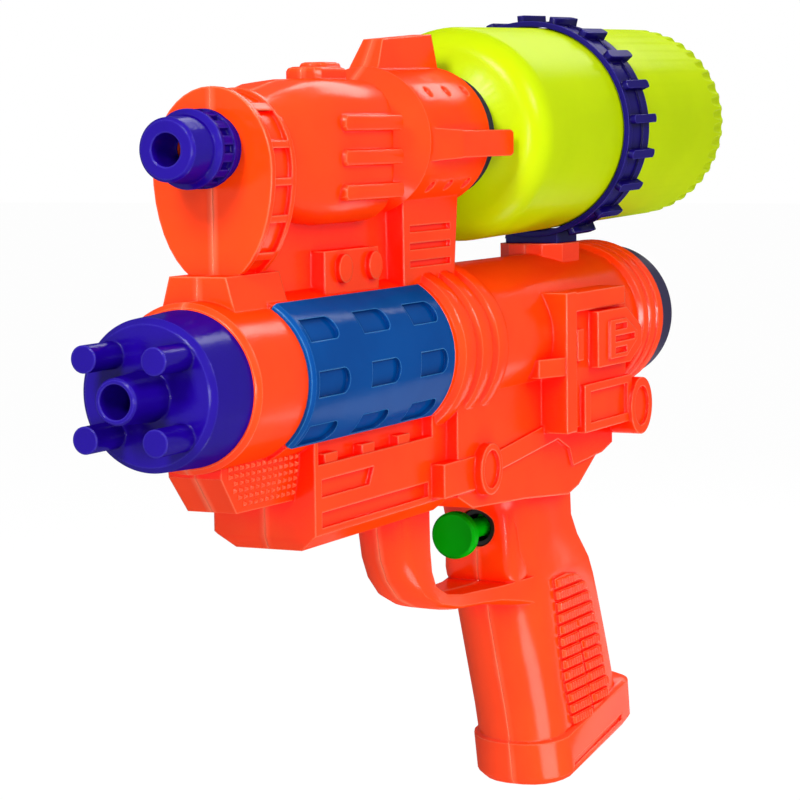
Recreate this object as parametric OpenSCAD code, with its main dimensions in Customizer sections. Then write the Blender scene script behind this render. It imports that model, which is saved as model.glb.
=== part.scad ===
// Toy water squirter: a pistol body in two shells, a trigger pump and a screw-on tank.
// +X is forwards along the barrel, +Y is the left side, +Z is up.
// The origin is on the barrel's axis at the front face of the collar.

/* [Barrel] */
// Radius of the collar at the muzzle
collar_r = 17; // [16.2:0.1:17.8]
// Length of the collar
collar_len = 20; // [17:0.5:24]
// Radius of the barrel behind the collar
barrel_r = 18.3; // [17.9:0.1:19.4]
// Length of the barrel, from the collar's front face
barrel_len = 216; // [210:1:224]
// Height of the moulded ridges round the barrel
ridge_h = 1.8; // [1:0.1:2.4]
// Wall of the two body shells
shell_t = 2.4; // [2:0.1:2.8]

/* [Muzzle plug] */
// Radius of the plug where it meets the collar
plug_r = 15.6; // [15.2:0.1:16]
// Radius of the plug's front face
plug_front_r = 14.5; // [13.5:0.1:15]
// Length of the plug in front of the collar
plug_len = 14; // [11:0.5:17]
// Depth of the plug's spigot inside the collar
plug_depth = 8; // [6:0.5:10]
// Outer radius of the centre tube
muzzle_tube_r = 4.5; // [4.2:0.1:5]
// Bore radius of the centre tube
muzzle_bore_r = 3.4; // [2.8:0.1:3.6]
// Length of the centre tube in front of the plug
muzzle_tube_len = 11.5; // [8:0.5:14]
// Radius of each peg
peg_r = 2.7; // [2.2:0.1:3]
// Length of each peg
peg_len = 10; // [7:0.5:12]
// Distance of each peg from the two middle planes
peg_offset = 7.7; // [7.2:0.1:8]

/* [Sleeve panels] */
// Thickness of the blue panels
sleeve_t = 1.6; // [1.2:0.1:2]
// Length of the panels along the barrel
sleeve_len = 67; // [60:1:68]
// Angle of the panels' lower edge from the horizontal
sleeve_low = 48; // [42:1:52]
// Angle of the panels' upper edge from the horizontal
sleeve_high = 59; // [54:1:62]
// Length of each pocket in the panels
pocket_len = 13.5; // [11:0.5:16]
// Width of each pocket
pocket_w = 5.2; // [4:0.2:6]
// Depth of each pocket
pocket_depth = 0.9; // [0.4:0.1:1]
// Play between the panels and their seat
sleeve_play = 0.1; // [0.05:0.05:0.2]

/* [Upper housing] */
// Distance of the egg-shaped plate behind the collar's front face
plate_back = 12.5; // [11.5:0.5:13.5]
// Thickness of the plate
plate_t = 10.5; // [9:0.5:11.5]
// Half width of the egg-shaped plate
plate_r = 13.6; // [12.8:0.1:14.2]
// Half width of the plate's foot
plate_foot_w = 6.6; // [6:0.1:7]
// Half width of the drum behind the plate
drum_w = 13.5; // [13:0.1:14]
// Half height of the drum
drum_h = 15.3; // [14.8:0.1:15.8]
// Length of the drum
drum_len = 46; // [44:0.5:48]
// Distance of the bracket behind the collar's front face
bracket_back = 80; // [78:0.5:81]
// Length of the bracket that carries the tank
bracket_len = 33; // [31:0.5:34]
// Radius of the bracket
bracket_r = 16; // [15.6:0.1:16.8]
// Half width of the pillar under the bracket
pillar_w = 9; // [8.6:0.1:10]
// Half span of the two side fins
side_fin_span = 19; // [18:0.2:20]
// Height of the dorsal fin above the bracket
dorsal_h = 8; // [6:0.2:9]

/* [Nozzle] */
// Distance of the nozzle's axis below the tank's axis
nozzle_drop = 0.8; // [0.2:0.1:1.2]
// Reach of the nozzle in front of the collar's front face
nozzle_tip = 5; // [3:0.5:8]
// Radius of the nozzle's front tube
nozzle_r = 6.3; // [5.8:0.1:6.6]
// Radius of the nozzle's mouth
nozzle_bore_r = 3.3; // [2.6:0.1:3.8]
// Radius of the ring of finger blocks
knurl_r = 7.9; // [7.6:0.1:8.4]
// Number of finger blocks
knurl_count = 14; // [10:1:18]
// Radius of the jet tube that the nozzle turns on
jet_r = 3; // [2.7:0.1:3.1]
// Radial running clearance of turning and sliding fits
running_gap = 0.05; // [0.03:0.01:0.08]

/* [Tank] */
// Outer radius of the tank
tank_r = 25.2; // [24:0.2:26]
// Length of the tank from its front face to its base
tank_len = 134; // [130:1:140]
// Tilt of the tank, its base upwards
tank_tilt = 1.2; // [0.6:0.1:1.8]
// Wall of the tank
tank_wall = 1.4; // [1:0.1:1.8]
// Radius of the tank's rounded edges
tank_fillet = 7; // [5:0.5:9]
// Outer radius of the tank's neck
neck_r = 10.4; // [9.8:0.1:10.8]
// Wall of the neck
neck_wall = 1.7; // [1.3:0.1:2]
// Number of flutes round the base
flute_count = 44; // [36:1:48]
// Radial play between neck and socket
neck_play = 0.3; // [0.2:0.05:0.4]
// Depth of the socket inside the bracket
socket_depth = 12; // [11:0.5:13]
// Radius of the socket's flange
socket_flange_r = 14.8; // [14.4:0.1:15.2]
// Length of the socket's flange behind the bracket
socket_flange_len = 5.2; // [4.6:0.2:5.4]
// Thickness of the tank's washer
seal_t = 1.5; // [1:0.1:2]

/* [Tank ring] */
// Play between the tank and the ring
ring_play = 0.4; // [0.3:0.05:0.8]
// Thickness of the ring's band
ring_t = 1.3; // [1:0.1:1.8]
// Width of the ring along the tank
ring_w = 15; // [12:0.5:16]
// Height of the cross ribs
ring_rib_h = 1.5; // [1:0.1:2]
// Number of cross ribs
ring_rib_count = 20; // [16:1:24]
// Distance of the ring's front edge from the barrel's rear end
ring_inset = 44; // [40:1:48]
// Height of the ring's pad above the barrel
pad_h = 2.6; // [2.2:0.1:3]

/* [Receiver] */
// Half width of the raised receiver block
receiver_w = 22; // [21:0.2:23]
// Half width of the lower receiver
lower_w = 15; // [14.6:0.2:16]
// Half width of the fore-end
fore_w = 12; // [11.6:0.1:12.6]
// Depth of the relief panels
relief = 1; // [0.6:0.1:1.3]

/* [Guard and grip] */
// Half width of the trigger guard
guard_w = 6.5; // [6:0.1:7.5]
// Bulge of the guard's front
guard_bulge = 4.5; // [3:0.5:5.5]
// Half width of the grip
grip_w = 12; // [11.8:0.1:13]
// Half width of the foot below the grip
foot_w = 13.3; // [13.2:0.1:14.4]
// Height of the foot
foot_h = 11; // [9:0.5:12]

/* [Trigger pump] */
// Height of the trigger's axis below the barrel's axis
trigger_drop = 46.7; // [46.2:0.1:47.2]
// Distance of the trigger's face behind the collar's front face
trigger_back = 124; // [122.5:0.5:124.5]
// Radius of the trigger's button
button_r = 5.65; // [5:0.05:6.2]
// Radius of the trigger's stem
stem_r = 2.3; // [1.8:0.1:2.5]
// Travel of the trigger
travel = 8; // [6:0.5:8.5]
// Bore radius of the pump cylinder
pump_bore_r = 3.4; // [3.2:0.05:3.5]
// Outer radius of the pump cylinder
pump_r = 4.6; // [4.3:0.1:4.7]
// Length of the pump cylinder
pump_len = 24; // [23.5:0.1:24.4]
// Radius of the return spring, at the middle of its wire
spring_r = 2.5; // [2.2:0.1:2.7]
// Radius of the spring's wire
wire_r = 0.3; // [0.2:0.05:0.4]
// Turns of the return spring
spring_turns = 7; // [5:1:8]
// Radius of the two valve balls
ball_r = 1.7; // [1.5:0.05:1.8]
// Outer radius of the hoses
hose_r = 2.2; // [2:0.05:2.3]
// Bore radius of the hoses
hose_bore_r = 1.6; // [1.55:0.02:1.7]

/* [Screws] */
// Radius of the screws' shanks
screw_r = 1.2; // [1:0.1:1.4]
// Radius of the screws' heads
screw_head_r = 2.5; // [2.2:0.1:2.8]
// Length of the screws under the head
screw_len = 11; // [9:0.5:11.5]
// Depth of the screw heads from the seam
screw_seat = 5; // [4:0.5:5.5]

/* [Hidden] */
$fn = 64;
orange = "orangered";
purple = "mediumblue";
seat_gap = 0.1;

// Barrel
barrel_in_r = barrel_r - sleeve_t - shell_t;
sleeve_seat_r = barrel_r - sleeve_t - sleeve_play;
sleeve_end = collar_len + sleeve_len;
cap_len = 11.5;
cap_depth = 8;
front_ridge_w = 7.5;
rear_ridge_w = 4.6;
front_ridges = [for (i = [0:2]) sleeve_end + 5.5 + 9 * i];
rear_ridges = [for (i = [0:2]) barrel_len - 3 - 5.4 * i];

// Axes of the upper housing and what stands on the barrel
pad_top = barrel_r + pad_h;
ring_in_r = tank_r + ring_play;
ring_r = ring_in_r + ring_t;
ring_top_r = ring_r + ring_rib_h;
ring_back = barrel_len - ring_inset;
ring_end = ring_back + ring_w;
ring_clear = 0.3;
ring_rise = (ring_back + ring_w / 2 - bracket_back) * tan(tank_tilt);
upper_z = pad_top + ring_clear + ring_top_r - ring_rise;
nozzle_z = upper_z - nozzle_drop;
plate_end = plate_back + plate_t;
plate_foot_z = barrel_r + 3.4;
plate_mid_z = nozzle_z - 4.4;
plate_rise = 1.23 * plate_r;
plate_drop = 1.68 * plate_r;
plate_low = asin(min(0.96, (plate_mid_z - plate_foot_z + 0.7) / plate_drop));
egg_steps = 36;
drum_z = upper_z - 2;
drum_end = plate_end + drum_len;
bracket_end = bracket_back + bracket_len;

jet_back = 46;
jet_flange_r = 6.5;

// Tank, socket and ring
socket_front = bracket_end - socket_depth;
socket_wall = 2.4;
socket_r = bracket_r - 2.8;
socket_bore_r = neck_r + neck_play;
seal_front = socket_front + socket_wall + running_gap;
neck_tip = seal_front + seal_t + running_gap;
tank_front = bracket_end + socket_flange_len + 0.6;
tank_end = tank_front + tank_len;
pad_w = 8.5;
foot_tab_w = 2.5;
foot_tab_depth = 2.5;

// Channel between the sleeve panels and the fore-end, and the louvres of the pillar
channel_w = fore_w - 2.6;
channel_low = -18.4;
channel_h = 5.2;
louvre_pitch = 3.9;

// Nose of the fore-end: depth, front, half width in front and behind of each section
nose_rear = -33;
nose_rows = [[-6, -2.5, 6.2, fore_w - 3.4], [-18, -3.5, 6, fore_w - 3.6], [-25.6, -10, 5.6, fore_w - 4.8]];

// Trigger pump, along an axis below the barrel
trigger_z = -trigger_drop;
button_t = 3.2;
pump_back = trigger_back + 14.5;
pump_end = pump_back + pump_len;
piston_back = pump_back + 5.5;
piston_len = 3.6;
piston_r = pump_bore_r - 0.25;
valve_back = pump_end + 4;
valve_r = 3.2;
valve_bore_r = ball_r + 0.2;
valve_seat_r = 1.2;
ball_lift = 1.2;
seat_rise = sqrt(ball_r * ball_r - valve_seat_r * valve_seat_r) + 0.02;
inlet_seat_z = trigger_z - 7.4;
outlet_seat_z = trigger_z + 4.2;
valve_low_z = trigger_z - 11;
valve_high_z = trigger_z + 11;
spigot_r = hose_bore_r * cos(22.5) - 0.04;
spigot_len = 4;
port_r = 1;

// Grip: depth below the axis, front and rear of each section at the seam
grip_rows = [[-34, -132, -178.4], [-41, -136, -174.3], [-47, -138.6, -174.8], [-52.5, -139.2, -178.8],
             [-56, -141.6, -182.6], [-59.5, -143.8, -186.3], [-64, -143.4, -189.2], [-70, -144.8, -192.2],
             [-84, -150, -198.6], [-95, -154.2, -203.2], [-106, -157.6, -207.5]];
ridge_proud = 0.8;
grip_nose = 11;
grip_tail = 7;
grip_sides = 26;
foot_slope = 0.165;
foot_front = -156.3;
foot_rear = -210.5;
foot_top_z = -104.2;

// Guard: outer and inner point of each section in side view, share of the bulge and of the width
guard_rows = [[[-87.6, -32], [-97.5, -32], 1, 1], [[-87.8, -40], [-97.6, -40], 1, 1],
              [[-89.4, -46.5], [-97.8, -46], 1, 1], [[-92.2, -51.6], [-98.6, -51], 0.92, 1],
              [[-97, -56], [-100.8, -54.8], 0.7, 1], [[-104, -59.4], [-106.8, -57.6], 0.4, 1],
              [[-114, -61.6], [-115, -58.9], 0.27, 1.02], [[-126, -62.6], [-126, -59.6], 0.27, 1.08],
              [[-135, -63.4], [-135, -60], 0.3, 1.24], [[-143, -64.8], [-143, -59.8], 0.34, 1.46],
              [[-150, -66.4], [-150, -59.6], 0.35, 1.66], [[-157, -68.4], [-157, -59.6], 0.35, 1.76]];
guard_arc = 9;

// Housing round the pump: height, reach in front of the pump and half width of each section
housing_rows = [[-33, 0.5, 8.6], [-43, 0.5, 8.8], [-52, 0.7, 9.4], [-57, 0.5, 9.6], [-59, 0, 9.5],
                [-61, -1.2, 9.2], [-64, -3.8, 8.4]];
housing_rear = -153;
housing_soft = 3;

// Screws from the right side, as places on the side view
screw_places = [[-191.5, -21.3], [-108.6, -28], [-188, -92], [-(plate_back + 5.5), nozzle_z - 12],
                [-drum_end + 9.5, barrel_r + 2], [-60, -26]];
post_r = 4;
rear_boss = screw_places[0];
front_boss = screw_places[1];

// A point on the tank's axis, at a distance along the axis in front of the bracket's front
function axis_point(d) = [-bracket_back + d * cos(tank_tilt), 0, upper_z - d * sin(tank_tilt)];

// Hoses: the points that they pass through
spigot_at = bracket_back - socket_front;
suction_route = [axis_point(spigot_at + 1), axis_point(spigot_at + 6), axis_point(spigot_at + 8),
                 [-89, 2, upper_z - 5], [-87.6, 3.4, upper_z - 13], [-88, 3.6, 18], [-90, 3.8, 7],
                 [-98, 4.2, 1], [-118, 5, -2], [-140, 6, -6], [-152, 6.9, -15], [-156, 7.2, -30],
                 [-156, 7.2, trigger_z - 2], [-156.4, 7, trigger_z - 14], [-159, 5, trigger_z - 22],
                 [-valve_back + 3, 1.6, trigger_z - 26], [-valve_back, 0, valve_low_z - spigot_len - 6],
                 [-valve_back, 0, valve_low_z - spigot_len - 1], [-valve_back, 0, valve_low_z - seat_gap]];
delivery_route = [[-valve_back, 0, valve_high_z + seat_gap],
    [-valve_back, 0, valve_high_z + spigot_len + 1],
                  [-valve_back, 0, valve_high_z + spigot_len + 4],
                  [-valve_back + 3, -1.4, valve_high_z + 17], [-153, -4, -7], [-138, -5, -3], [-116, -5, 0],
                  [-103, -4.4, 4], [-97.4, -3.8, 11], [-97, -3.6, 20], [-95.4, -4, 31],
                  [-88, -4.6, nozzle_z - 8], [-78, -3, nozzle_z - 3], [-66, -0.8, nozzle_z - 0.3],
                  [-jet_back - 12, 0, nozzle_z], [-jet_back - 6, 0, nozzle_z],
                  [-jet_back - seat_gap, 0, nozzle_z]];
pickup_route = [[-(socket_front + socket_wall + seat_gap), 0, 0], [-(neck_tip + 4), 0, 0],
                [-(neck_tip + 8), 0, 0], [-(tank_front + 8), 0, -2], [-(tank_front + 40), 0, -tank_r * 0.4],
                [-(tank_end - 45), 0, -tank_r * 0.72], [-(tank_end - 18), 0, -tank_r * 0.78]];
hose_sides = 8;
hose_steps = 2;

// A point on a smooth curve through four points
function curve_point(a, b, c, d, t) =
    0.5 * (2 * b + (c - a) * t + (2 * a - 5 * b + 4 * c - d) * t * t + (3 * b - a - 3 * c + d) * t * t * t);

// A route made smooth, with steps stretches between its points
function smooth_route(p, steps) =
    [for (i = [0:len(p) - 2]) for (k = [0:steps - 1])
        curve_point(p[max(i - 1, 0)], p[i], p[i + 1], p[min(i + 2, len(p) - 1)], k / steps),
     p[len(p) - 1]];

function unit(v) = v / norm(v);

// Direction of a route at its point i
function heading(p, i) = unit(p[min(i + 1, len(p) - 1)] - p[max(i - 1, 0)]);

// One ring of points round a route
function route_ring(p, i, r, sides) =
    let (t = heading(p, i), u = unit(cross(t, [0, 1, 0])), v = cross(t, u))
    [for (k = [0:sides - 1]) p[i] + r * (cos(360 * k / sides) * u + sin(360 * k / sides) * v)];

// A point of a rounded section: power below 1 squares it off
function lobe(c, power) = sign(c) * pow(abs(c), power);

// Rounded section across the barrel's direction, half width w and half height h
function cross_section(x, z, w, h, power, sides) =
    [for (k = [0:sides - 1]) let (a = 360 * (k + 0.5) / sides)
        [x, -w * lobe(cos(a), power), z + h * lobe(sin(a), power)]];

// Level section of the grip, with a long round nose and a shorter round back
function grip_section(z, front, rear, w, slope) =
    [for (k = [0:grip_sides - 1])
        let (a = 360 * (k + 0.5) / grip_sides, c = lobe(cos(a), 0.9),
             x = c > 0 ? front - grip_nose * (1 - c) : rear + grip_tail * (1 + c))
        [x, -w * lobe(sin(a), 0.8), z - slope * (x - front)]];

// Section of the guard between its outer and inner points
function guard_section(outer, inner, bulge, w) =
    let (u = unit(outer - inner))
    concat([[inner[0], -w, inner[1]], [inner[0], w, inner[1]]],
           [for (k = [0:guard_arc]) let (a = 180 * k / guard_arc, o = outer + u * bulge * sin(a))
               [o[0], w * cos(a), o[1]]]);

// Level section of the pump's housing, its two front edges rounded
function housing_section(z, front, w) =
    let (r = housing_soft)
    concat([for (s = [1, -1]) for (k = [0:4]) let (a = s > 0 ? 90 - 22.5 * k : -22.5 * k)
               [front - r + r * cos(a), s * (w - r) + r * sin(a), z]],
           [[housing_rear, -w, z], [housing_rear, w, z]]);

// Level eight-cornered outline
function eight(x0, x1, w, z, cut) =
    [[x1, -w + cut, z], [x1, w - cut, z], [x1 - cut, w, z], [x0 + cut, w, z],
     [x0, w - cut, z], [x0, -w + cut, z], [x0 + cut, -w, z], [x1 - cut, -w, z]];

// Outline of the egg-shaped plate, drawn in by inset
function egg(inset) =
    let (w = plate_r - inset, neck = (plate_r - inset) * cos(plate_low) - 0.3)
    concat([[neck, plate_foot_z - 3]],
           [for (k = [0:egg_steps])
               let (a = -plate_low + (180 + 2 * plate_low) * k / egg_steps, s = sin(a))
               [w * cos(a), plate_mid_z + s * ((s > 0 ? plate_rise : plate_drop) - inset)]],
           [[-neck, plate_foot_z - 3]]);

// Solid lofted through sections, from the first to the last
module loft(s) {
    n = len(s[0]);
    m = len(s);
    sides = [for (i = [0:m - 2]) for (k = [0:n - 1])
        let (a = i * n + k, b = i * n + (k + 1) % n)
        each [[a, a + n, b + n], [a, b + n, b]]];
    polyhedron([for (q = s) each q],
               concat([[for (k = [0:n - 1]) k]], sides, [[for (k = [n - 1:-1:0]) (m - 1) * n + k]]));
}

// Block with softened upper edges
module pillow(x0, x1, w, z0, z1, soft) {
    loft([for (q = [[z0, 0], [z1 - soft, 0], [z1 - 0.3 * soft, 0.3 * soft], [z1, soft]])
        eight(x0 + q[1], x1 - q[1], w - q[1], q[0], soft)]);
}

// Hollow tube swept along a route
module tube(route, r, bore) {
    p = smooth_route(route, hose_steps);
    n = hose_sides;
    m = len(p);
    outer = [for (i = [0:m - 1]) each route_ring(p, i, r, n)];
    inner = [for (i = [0:m - 1]) each route_ring(p, i, bore, n)];
    w = m * n;
    walls = [for (i = [0:m - 2]) for (k = [0:n - 1])
        let (a = i * n + k, b = i * n + (k + 1) % n)
        each [[a, b + n, a + n], [a, b, b + n], [w + a, w + a + n, w + b + n], [w + a, w + b + n, w + b]]];
    ends = [for (k = [0:n - 1])
        let (a = k, b = (k + 1) % n, c = (m - 1) * n + a, d = (m - 1) * n + b)
        each [[a, w + a, w + b], [a, w + b, b], [c, w + d, w + c], [c, d, w + d]]];
    polyhedron(concat(outer, inner), concat(walls, ends));
}

// Revolve about the X direction: the profile's x is the radius, its y the place along X
module turned() {
    rotate([0, 90, 0]) rotate_extrude() children();
}

// Frame of the tank's axis, tilted about the bracket's front
module tilted() {
    translate([-bracket_back, 0, upper_z]) rotate([0, tank_tilt, 0]) translate([bracket_back, 0, 0])
        children();
}

// Round bar along X
module bar_x(x0, x1, r) {
    translate([x0, 0, 0]) rotate([0, 90, 0]) cylinder(h = x1 - x0, r = r);
}

// Round bar along Y
module bar_y(x, z, r, y0, y1) {
    translate([x, y0, z]) rotate([-90, 0, 0]) cylinder(h = y1 - y0, r = r);
}

// Block that spans both sides of the seam
module block(x0, x1, w, z0, z1) {
    translate([x0, -w, z0]) cube([x1 - x0, 2 * w, z1 - z0]);
}

// Side view outline given its width
module slab(w) {
    rotate([90, 0, 0]) linear_extrude(2 * w, center = true) children();
}

// Front view outline given its length
module along_x(x0, x1) {
    translate([x0, 0, 0]) rotate([90, 0, 90]) linear_extrude(x1 - x0) children();
}

// Shallow rectangular panel sunk into both sides of a block of half width w
module sunk_panel(x0, x1, z0, z1, w) {
    for (s = [-1, 1])
        translate([x0, s > 0 ? w - relief : -w - 2, z0]) cube([x1 - x0, relief + 2, z1 - z0]);
}

// Any outline in side view sunk into both sides of a block of half width w
module sunk_outline(w) {
    for (s = [-1, 1])
        translate([0, s * (w - relief + 3), 0]) slab(3) children();
}

// Rounded ridge of width w on the barrel's profile, centred at distance d
function ridge(d, w) = [[barrel_r, -d + w / 2], [barrel_r + ridge_h * 0.8, -d + w * 0.36],
                        [barrel_r + ridge_h, -d + w * 0.2], [barrel_r + ridge_h, -d - w * 0.2],
                        [barrel_r + ridge_h * 0.8, -d - w * 0.36], [barrel_r, -d - w / 2]];

// Barrel with its collar, sleeve seat and ridges
module barrel_form() {
    turned() polygon(concat(
        [[0, 0], [collar_r - 1, 0], [collar_r, -1], [collar_r, -collar_len], [sleeve_seat_r, -collar_len],
         [sleeve_seat_r, -sleeve_end], [barrel_r, -sleeve_end]],
        [for (d = front_ridges) each ridge(d, front_ridge_w)],
        [for (i = [2:-1:0]) each ridge(rear_ridges[i], rear_ridge_w)],
        [[barrel_r, -barrel_len], [0, -barrel_len]]));
}

// Sector about the barrel's axis, seen from the front
module wedge(middle, half) {
    polygon(concat([[0, 0]], [for (a = [-half, 0, half]) 60 * [cos(middle + a), sin(middle + a)]]));
}

// Strips of the barrel above and below the sleeve panels
module sleeve_strips() {
    edge = 0.4;
    intersection() {
        bar_x(-sleeve_end - 1, -collar_len + 1, barrel_r - 0.5);
        along_x(-sleeve_end - 0.5, -collar_len + 0.5) {
            wedge(90, 90 - sleeve_high - edge);
            wedge(-90, 90 - sleeve_low - edge);
        }
    }
}

// Room that the sleeve panels take up round the barrel
module sleeve_room() {
    for (s = [0, 1]) mirror([0, s, 0]) intersection() {
        turned() polygon([[sleeve_seat_r, -collar_len], [barrel_r + 0.8, -collar_len],
            [barrel_r + 0.8, -sleeve_end], [sleeve_seat_r, -sleeve_end]]);
        along_x(-sleeve_end - 1, 1)
            wedge((sleeve_high - sleeve_low) / 2, (sleeve_high + sleeve_low) / 2 + 0.3);
    }
}

// Egg-shaped plate with a ribbed rim, on its block
module front_plate() {
    lip = 1.6;
    rib_pitch = 7.4;
    along_x(-plate_back - lip, -plate_back) polygon(egg(0));
    along_x(-plate_end, -plate_back - lip / 2) polygon(egg(1.2));
    along_x(-plate_end, -plate_end + lip) polygon(egg(0.2));
    intersection() {
        along_x(-plate_end + lip / 2, -plate_back - lip / 2) polygon(egg(0.3));
        for (i = [-3:1])
            block(-plate_end, -plate_back, 30, nozzle_z + rib_pitch * i, nozzle_z + rib_pitch * i + 1.5);
    }
    along_x(-plate_end - 5, -6)
        polygon([[-plate_foot_w + 0.2, plate_foot_z], [-plate_foot_w - 2.4, barrel_r - 6],
            [-plate_foot_w - 2.4, 0],
                 [plate_foot_w + 2.4, 0], [plate_foot_w + 2.4, barrel_r - 6],
                 [plate_foot_w - 0.2, plate_foot_z]]);
}

// Drum behind the plate, with three ribs on each side
module drum() {
    rows = [[-0.02, 0.8, 0.74], [0.15, 0.9, 0.85], [0.33, 0.98, 0.96], [0.5, 1, 1], [0.93, 1, 1],
            [0.98, 0.96, 0.96], [1, 0.88, 0.88], [1.06, 0.8, 0.8]];
    rib_pitch = 7.2;
    rib_half = 1.7;
    rib_height = 1.1;
    rib_soft = 0.8;
    loft([for (q = rows)
        cross_section(-plate_end - q[0] * drum_len, drum_z, drum_w * q[1], drum_h * q[2], 0.55, 28)]);
    for (i = [-1:1]) {
        mid = drum_z - 1.2 + rib_pitch * i;
        for (s = [0, 1]) mirror([0, s, 0]) translate([0, 0, mid]) rotate([-90, 0, 0])
            pillow(-drum_end - 1.4, -drum_end + 26, rib_half, 0, drum_w + rib_height, rib_soft);
    }
    pillow(-drum_end + 4.5, -drum_end + 18, 4.2, drum_z, drum_z + drum_h + 2.6, 1);
    pillow(-drum_end + 5.4, -drum_end + 13.6, 3.2, drum_z, drum_z + drum_h + 3.6, 0.8);
}

// Round bracket with its fins
module bracket() {
    cone_len = 8;
    lip = 0.3;
    tilted() turned() polygon([[0, -drum_end + 3], [drum_w * 0.8, -drum_end + 3],
        [drum_w * 0.86, -bracket_back + cone_len], [bracket_r + lip, -bracket_back],
        [bracket_r, -bracket_back - 1.2], [bracket_r, -bracket_end + 1], [bracket_r - 1, -bracket_end],
        [0, -bracket_end]]);
    dorsal_fin();
    for (s = [0, 1]) mirror([0, s, 0]) side_fin();
}

// Fin on top of the bracket, narrower above
module dorsal_fin() {
    front = -bracket_back + 3;
    rear = -bracket_end + 2;
    root = upper_z + bracket_r - 4;
    top = upper_z + bracket_r + dorsal_h;
    root_w = 4.3;
    top_w = 2.4;
    loft([[[front, -root_w, root], [front, root_w, root], [rear, root_w, root], [rear, -root_w, root]],
          [[front - 8, -top_w, top - 1.6], [front - 8, top_w, top - 1.6],
           [rear + 1, top_w, top], [rear + 1, -top_w, top]]]);
}

// Fin on the bracket's side: a ramp, then a blade that ends over the tank
module side_fin() {
    mid = upper_z - 0.9;
    half = 3;
    root = 3.8;
    ramp = -bracket_back - 10;
    tip = -tank_front - 0.9;
    intersection() {
        translate([0, 0, mid - 5]) linear_extrude(10)
            polygon([[-bracket_back - 1, bracket_r - 6], [-bracket_back - 1, bracket_r - 1],
                     [ramp, side_fin_span], [tip + 1, side_fin_span], [tip, side_fin_span - 1.2],
                     [tip, side_fin_span - 2.8], [-bracket_end - 0.5, socket_flange_r + 0.8],
                     [-bracket_end + 6, bracket_r - 6]]);
        slab(2 * side_fin_span)
            polygon(concat([[-bracket_back, mid - root], [ramp - 2, mid - half]],
                           [for (a = [-90:22.5:90]) [tip + half * (1 - cos(a)) - 0.1, mid + half * sin(a)]],
                           [[ramp - 2, mid + half], [-bracket_back, mid + root]]));
    }
}

// Three dimples above and below each side fin
module dimples() {
    pitch = 9.5;
    slant = 41;
    tilted() for (s = [-1, 1], t = [-1, 1], i = [0:2])
        translate([-bracket_back - 8 - pitch * i, 0, 0]) rotate([t * slant * s, 0, 0])
            translate([0, s * (bracket_r + 0.6), 0]) sphere(r = 1.7);
}

// Pillar and web that join the upper housing to the barrel
module pillar() {
    rear = bracket_end - 3;
    slab(pillar_w) polygon([[-bracket_back - 0.5, upper_z - 6], [-rear, upper_z - 6], [-rear + 4, 8],
        [-bracket_back - 1, 8]]);
    block(-bracket_back - 5, -plate_end + 1, 4.6, 8, drum_z - drum_h + 5);
    block(-drum_end - 1, -drum_end + 24, 8, 8, barrel_r + 6.6);
    for (d = [2.4, 16.5])
        bar_y(-drum_end + d, barrel_r + 2.7, 3, -9.2, 9.2);
}

// Raised blocks of relief on the receiver
module receiver_form() {
    block(-149, -143, receiver_w, -23.5, 10.4);
    block(-181, -144, receiver_w, 5.6, 10.1);
    block(-186, -145, receiver_w - 1.8, -23, 8);
    block(-186.7, -155.2, receiver_w - 0.3, -24.6, -12.8);
    slab(receiver_w + 0.9) polygon([[-161, 4.8], [-180, 4.8], [-190.5, -0.8], [-190.5, -5.4],
        [-182.6, -9.2], [-161, -9]]);
    slab(receiver_w + 1.6) polygon([[-167.4, 2.2], [-178, 2.2], [-185.6, -1.4], [-185.6, -3.8],
        [-178.6, -7.4], [-167.4, -7.4]]);
    block(-155, -151.4, receiver_w - 0.6, -6.6, 1);
    for (s = [0, 1]) mirror([0, s, 0]) translate([0, 0, -9.4]) linear_extrude(4.4)
        polygon([[-133.6, barrel_r - 3], [-144, barrel_r - 3], [-144, receiver_w - 0.4],
                 [-141.4, receiver_w - 0.6], [-134, barrel_r + 0.2]]);
    slab(lower_w + 0.7) polygon([[-104, -26], [-145, -21.6], [-188, -22], [-188, -30.6], [-181, -32.4],
        [-162, -33.6],
                                 [-159.5, -29], [-152, -25.9], [-118, -29.2], [-104, -30]]);
    block(-108, -87, lower_w + 0.4, -32.2, -24.5);
    slab(lower_w) polygon([[-95, -4], [-95, -33], [-103, -36.4], [-133, -38.2], [-160, -40.6], [-167, -39],
                           [-183, -30.4], [-193, -27], [-193, -4]]);
    bar_y(rear_boss[0], rear_boss[1], 7.3, -receiver_w - 0.6, receiver_w + 0.6);
    bar_y(front_boss[0], front_boss[1], 5.9, -lower_w - 2.4, lower_w + 2.4);
}

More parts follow.
